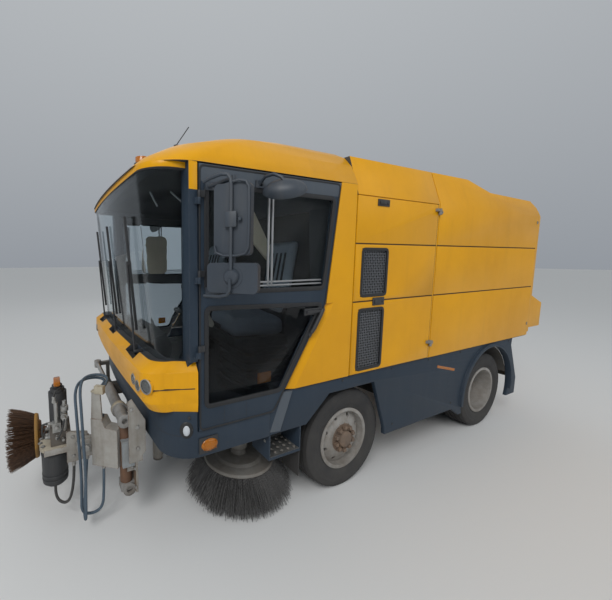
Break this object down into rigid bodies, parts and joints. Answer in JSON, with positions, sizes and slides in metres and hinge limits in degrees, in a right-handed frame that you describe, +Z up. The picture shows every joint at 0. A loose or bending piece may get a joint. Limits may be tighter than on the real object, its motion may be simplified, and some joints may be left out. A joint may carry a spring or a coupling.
{
  "type": "street sweeper truck",
  "caption": "Compact street sweeper truck with forward cab, tipping dirt hopper with rear door, swinging side brushes and a tilting front brush on a slewing arm.",
  "frame": {"origin": "middle of the whole machine at ground level", "axes": "+X to the vehicle's left, +Y to its rear, +Z up; the cab faces -Y"},
  "size_m": [2.6472, 5.31, 2.5618],
  "materials": {
    "yellow_paint": "weathered gloss paint",
    "dark_paint": "dull dark paint",
    "grey_steel": "chipped grey paint with rust",
    "chassis_black": "matt chassis paint",
    "cast_metal": "rough casting",
    "silver_rim": "silver wheel paint",
    "tyre_rubber": "worn rubber",
    "black_rubber": "dull rubber",
    "black_plastic": "grained plastic",
    "window_glass": "clear safety glass",
    "lamp_lens": "moulded lens",
    "seat_fabric": "woven seat cover",
    "bristle_brown": "worn bristle",
    "mesh_steel": "expanded mesh",
    "hose_blue": "woven hose sleeve"
  },
  "bodies": {
    "truck": {"chassis_frame": "chassis_black", "front_axle": "cast_metal", "rear_axle": "cast_metal", "engine_block": "cast_metal", "cab_frame": "dark_paint", "cab_pillars": "yellow_paint", "cab_roof": "yellow_paint", "windscreen": "window_glass", "front_bumper": "yellow_paint", "front_skirt": "dark_paint", "lamps": "lamp_lens", "seats": "seat_fabric", "console": "black_plastic", "wipers": "black_plastic", "beacon": "lamp_lens", "mid_shell": "yellow_paint", "side_skirts": "dark_paint", "steps": "grey_steel", "mudflaps": "black_rubber", "suction_nozzle": "grey_steel", "suction_duct": "black_rubber", "front_mount": "grey_steel"},
    "hopper": {"hopper_body": "yellow_paint"},
    "rear_door": {"tailgate": "yellow_paint"},
    "front_arm": {"front_arm": "grey_steel", "hose_feed": "hose_blue", "hose_loop": "hose_blue"},
    "front_head": {"front_head": "grey_steel", "hose_pot": "black_rubber"},
    "front_brush": {"front_brush_disc": "yellow_paint", "front_brush_tines": "bristle_brown"},
    "door_left": {"door_left": "dark_paint", "door_glass_left": "window_glass", "mirrors_left": "black_plastic"},
    "hatch_left": {"hatch_left": "yellow_paint", "louvres_left": "mesh_steel"},
    "knuckle_left": {"knuckle_left": "cast_metal"},
    "front_wheel_left": {"front_tyre_left": "tyre_rubber", "front_rim_left": "silver_rim"},
    "rear_wheels_left": {"rear_tyres_left": "tyre_rubber", "rear_rims_left": "silver_rim"},
    "brush_arm_left": {"brush_arm_left": "grey_steel"},
    "side_brush_left": {"brush_disc_left": "grey_steel", "brush_tines_left": "bristle_brown"},
    "door_right": {"door_right": "dark_paint", "door_glass_right": "window_glass", "mirrors_right": "black_plastic"},
    "hatch_right": {"hatch_right": "yellow_paint", "louvres_right": "mesh_steel"},
    "knuckle_right": {"knuckle_right": "cast_metal"},
    "front_wheel_right": {"front_tyre_right": "tyre_rubber", "front_rim_right": "silver_rim"},
    "rear_wheels_right": {"rear_tyres_right": "tyre_rubber", "rear_rims_right": "silver_rim"},
    "brush_arm_right": {"brush_arm_right": "grey_steel"},
    "side_brush_right": {"brush_disc_right": "grey_steel", "brush_tines_right": "bristle_brown"}
  },
  "joints": [
    {"name": "door_left_swing", "type": "hinge", "parent": "truck", "child": "door_left", "pos_m": [1.06, -1.63195, 1.5], "axis": [0, 0, -1], "range_deg": [0, 70]},
    {"name": "hatch_left_swing", "type": "hinge", "parent": "truck", "child": "hatch_left", "pos_m": [1.063, 0.50405, 1.5], "axis": [0, 0, 1], "range_deg": [0, 100]},
    {"name": "steer_left", "type": "hinge", "parent": "truck", "child": "knuckle_left", "pos_m": [0.69, -0.39495, 0.3835], "axis": [0, 0, 1], "range_deg": [-32, 32]},
    {"name": "front_wheel_left_roll", "type": "hinge", "parent": "knuckle_left", "child": "front_wheel_left", "pos_m": [0.8925, -0.39495, 0.3835], "axis": [1, 0, 0], "continuous": true},
    {"name": "rear_wheels_left_roll", "type": "hinge", "parent": "truck", "child": "rear_wheels_left", "pos_m": [0.8925, 1.61105, 0.3835], "axis": [1, 0, 0], "continuous": true},
    {"name": "brush_arm_left_swing", "type": "hinge", "parent": "truck", "child": "brush_arm_left", "pos_m": [0.44, -1.68495, 0.35], "axis": [0, 0, -1], "range_deg": [0, 30]},
    {"name": "side_brush_left_spin", "type": "hinge", "parent": "brush_arm_left", "child": "side_brush_left", "pos_m": [0.61, -1.09495, 0.25], "axis": [0, 0, 1], "continuous": true},
    {"name": "door_right_swing", "type": "hinge", "parent": "truck", "child": "door_right", "pos_m": [-1.06, -1.63195, 1.5], "axis": [0, 0, 1], "range_deg": [0, 70]},
    {"name": "hatch_right_swing", "type": "hinge", "parent": "truck", "child": "hatch_right", "pos_m": [-1.063, 0.50405, 1.5], "axis": [0, 0, -1], "range_deg": [0, 100]},
    {"name": "steer_right", "type": "hinge", "parent": "truck", "child": "knuckle_right", "pos_m": [-0.69, -0.39495, 0.3835], "axis": [0, 0, 1], "range_deg": [-32, 32]},
    {"name": "front_wheel_right_roll", "type": "hinge", "parent": "knuckle_right", "child": "front_wheel_right", "pos_m": [-0.8925, -0.39495, 0.3835], "axis": [1, 0, 0], "continuous": true},
    {"name": "rear_wheels_right_roll", "type": "hinge", "parent": "truck", "child": "rear_wheels_right", "pos_m": [-0.8925, 1.61105, 0.3835], "axis": [1, 0, 0], "continuous": true},
    {"name": "brush_arm_right_swing", "type": "hinge", "parent": "truck", "child": "brush_arm_right", "pos_m": [-0.44, -1.68495, 0.35], "axis": [0, 0, 1], "range_deg": [0, 30]},
    {"name": "side_brush_right_spin", "type": "hinge", "parent": "brush_arm_right", "child": "side_brush_right", "pos_m": [-0.61, -1.09495, 0.25], "axis": [0, 0, 1], "continuous": true},
    {"name": "hopper_tip", "type": "hinge", "parent": "truck", "child": "hopper", "pos_m": [0, 2.24505, 0.87], "axis": [-1, 0, 0], "range_deg": [0, 50]},
    {"name": "rear_door_lift", "type": "hinge", "parent": "hopper", "child": "rear_door", "pos_m": [0, 2.39905, 2.262], "axis": [1, 0, 0], "range_deg": [0, 80]},
    {"name": "front_arm_slew", "type": "hinge", "parent": "truck", "child": "front_arm", "pos_m": [0.62, -1.95495, 0.55], "axis": [0, 0, 1], "range_deg": [-8, 50]},
    {"name": "front_head_tilt", "type": "hinge", "parent": "front_arm", "child": "front_head", "pos_m": [0.45, -2.18495, 0.545], "axis": [1, 0, 0], "range_deg": [0, 80]},
    {"name": "front_brush_spin", "type": "hinge", "parent": "front_head", "child": "front_brush", "pos_m": [0.12, -2.46995, 0.49], "axis": [0, 1, 0], "continuous": true}
  ],
  "couplings": [
    {"joint": "steer_right", "follows": "steer_left", "ratio": 1}
  ]
}
